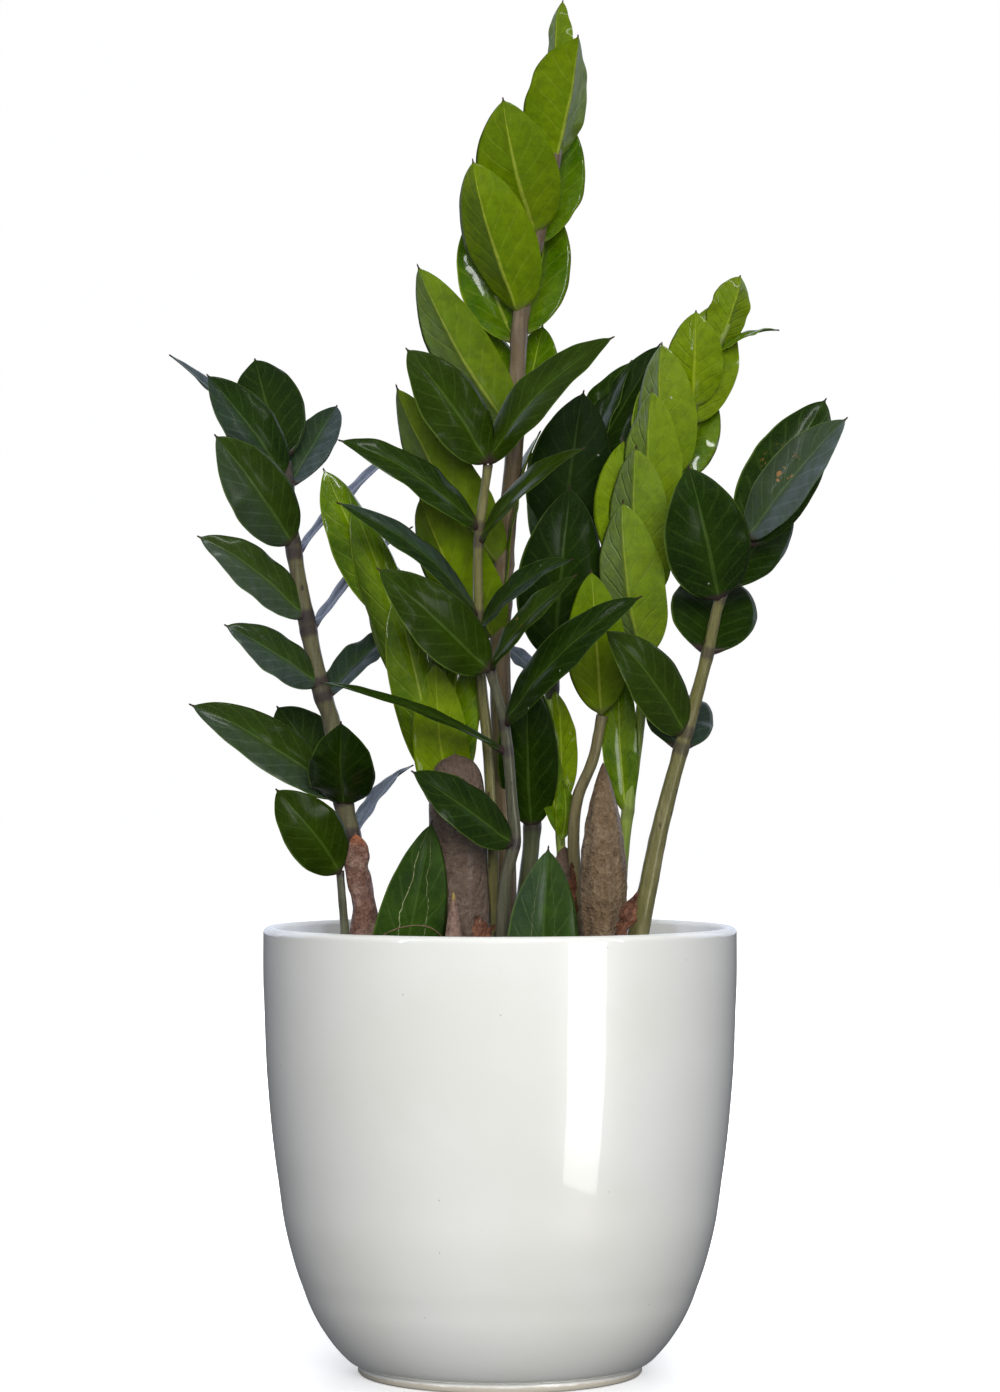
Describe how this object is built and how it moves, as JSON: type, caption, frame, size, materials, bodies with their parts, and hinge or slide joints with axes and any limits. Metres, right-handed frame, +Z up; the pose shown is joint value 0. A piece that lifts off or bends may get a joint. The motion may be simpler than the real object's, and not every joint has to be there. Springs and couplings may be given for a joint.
{
  "type": "potted zz plant",
  "caption": "Potted ZZ plant: upright fleshy stalks set with waxy oval leaflets, bright unfurling shoots and papery scale leaves, in a round glazed pot that tapers to a flat foot.",
  "frame": {"origin": "centre of the pot's flat foot, on the surface it stands on", "axes": "+Z up along the pot's axis, -Y toward the front view, +X to the viewer's right"},
  "size_m": [0.2869, 0.2, 0.584],
  "materials": {
    "glaze": "glossy warm white glaze",
    "soil": "loose dark crumbly potting mix",
    "dark_leaf": "waxy dark green leaf",
    "mid_leaf": "waxy mid green leaf",
    "young_leaf": "waxy yellow-green young leaf",
    "young_shoot": "glossy unfurling yellow-green shoot",
    "olive_stalk": "smooth olive stalk",
    "brown_stalk": "smooth grey-brown stalk",
    "purple_stalk": "smooth grey-purple stalk",
    "dry_scale": "dry papery scale leaf",
    "mauve_scale": "papery mauve-brown scale leaf",
    "tan_scale": "wrinkled tan sheath",
    "pink_scale": "fleshy pink-brown bud"
  },
  "bodies": {
    "root": {"closed_sheath": "tan_scale", "dry_scale": "dry_scale", "leaflet_back_1": "dark_leaf", "leaflet_back_2": "dark_leaf", "leaflet_back_7": "dark_leaf", "leaflet_front_1": "dark_leaf", "leaflet_front_2": "dark_leaf", "leaflet_front_3": "dark_leaf", "leaflet_front_4": "dark_leaf", "leaflet_front_5": "dark_leaf", "leaflet_front_6": "dark_leaf", "leaflet_left_10": "dark_leaf", "leaflet_left_12": "dark_leaf", "leaflet_left_13": "dark_leaf", "leaflet_left_14": "dark_leaf", "leaflet_left_15": "dark_leaf", "leaflet_left_2": "dark_leaf", "leaflet_left_3": "dark_leaf", "leaflet_left_4": "dark_leaf", "leaflet_left_5": "dark_leaf", "leaflet_left_6": "dark_leaf", "leaflet_left_7": "dark_leaf", "leaflet_right_1": "dark_leaf", "leaflet_right_2": "dark_leaf", "leaflet_right_3": "dark_leaf", "leaflet_right_4": "dark_leaf", "leaflet_right_5": "dark_leaf", "leaflet_right_6": "dark_leaf", "leaflet_slim_1": "young_leaf", "leaflet_small_1": "dark_leaf", "leaflet_small_2": "dark_leaf", "leaflet_small_3": "dark_leaf", "leaflet_small_4": "dark_leaf", "leaflet_small_5": "dark_leaf", "leaflet_tall_1": "young_leaf", "leaflet_tall_11": "young_leaf", "leaflet_tall_12": "young_leaf", "leaflet_tall_2": "young_leaf", "leaflet_tall_3": "young_leaf", "leaflet_tall_4": "young_leaf", "leaflet_tall_8": "young_leaf", "mauve_scale": "mauve_scale", "pink_bud": "pink_scale", "pot": "glaze", "potting_soil": "soil", "rim_leaf_left": "mid_leaf", "rim_leaf_right": "mid_leaf", "short_scale": "mauve_scale", "stalk_back": "olive_stalk", "stalk_bright": "young_shoot", "stalk_front": "olive_stalk", "stalk_left": "olive_stalk", "stalk_right": "olive_stalk", "stalk_short": "young_shoot", "stalk_slim": "brown_stalk", "stalk_small": "purple_stalk", "stalk_spear": "young_shoot", "stalk_sprout": "purple_stalk", "stalk_tall": "brown_stalk"}
  },
  "joints": []
}
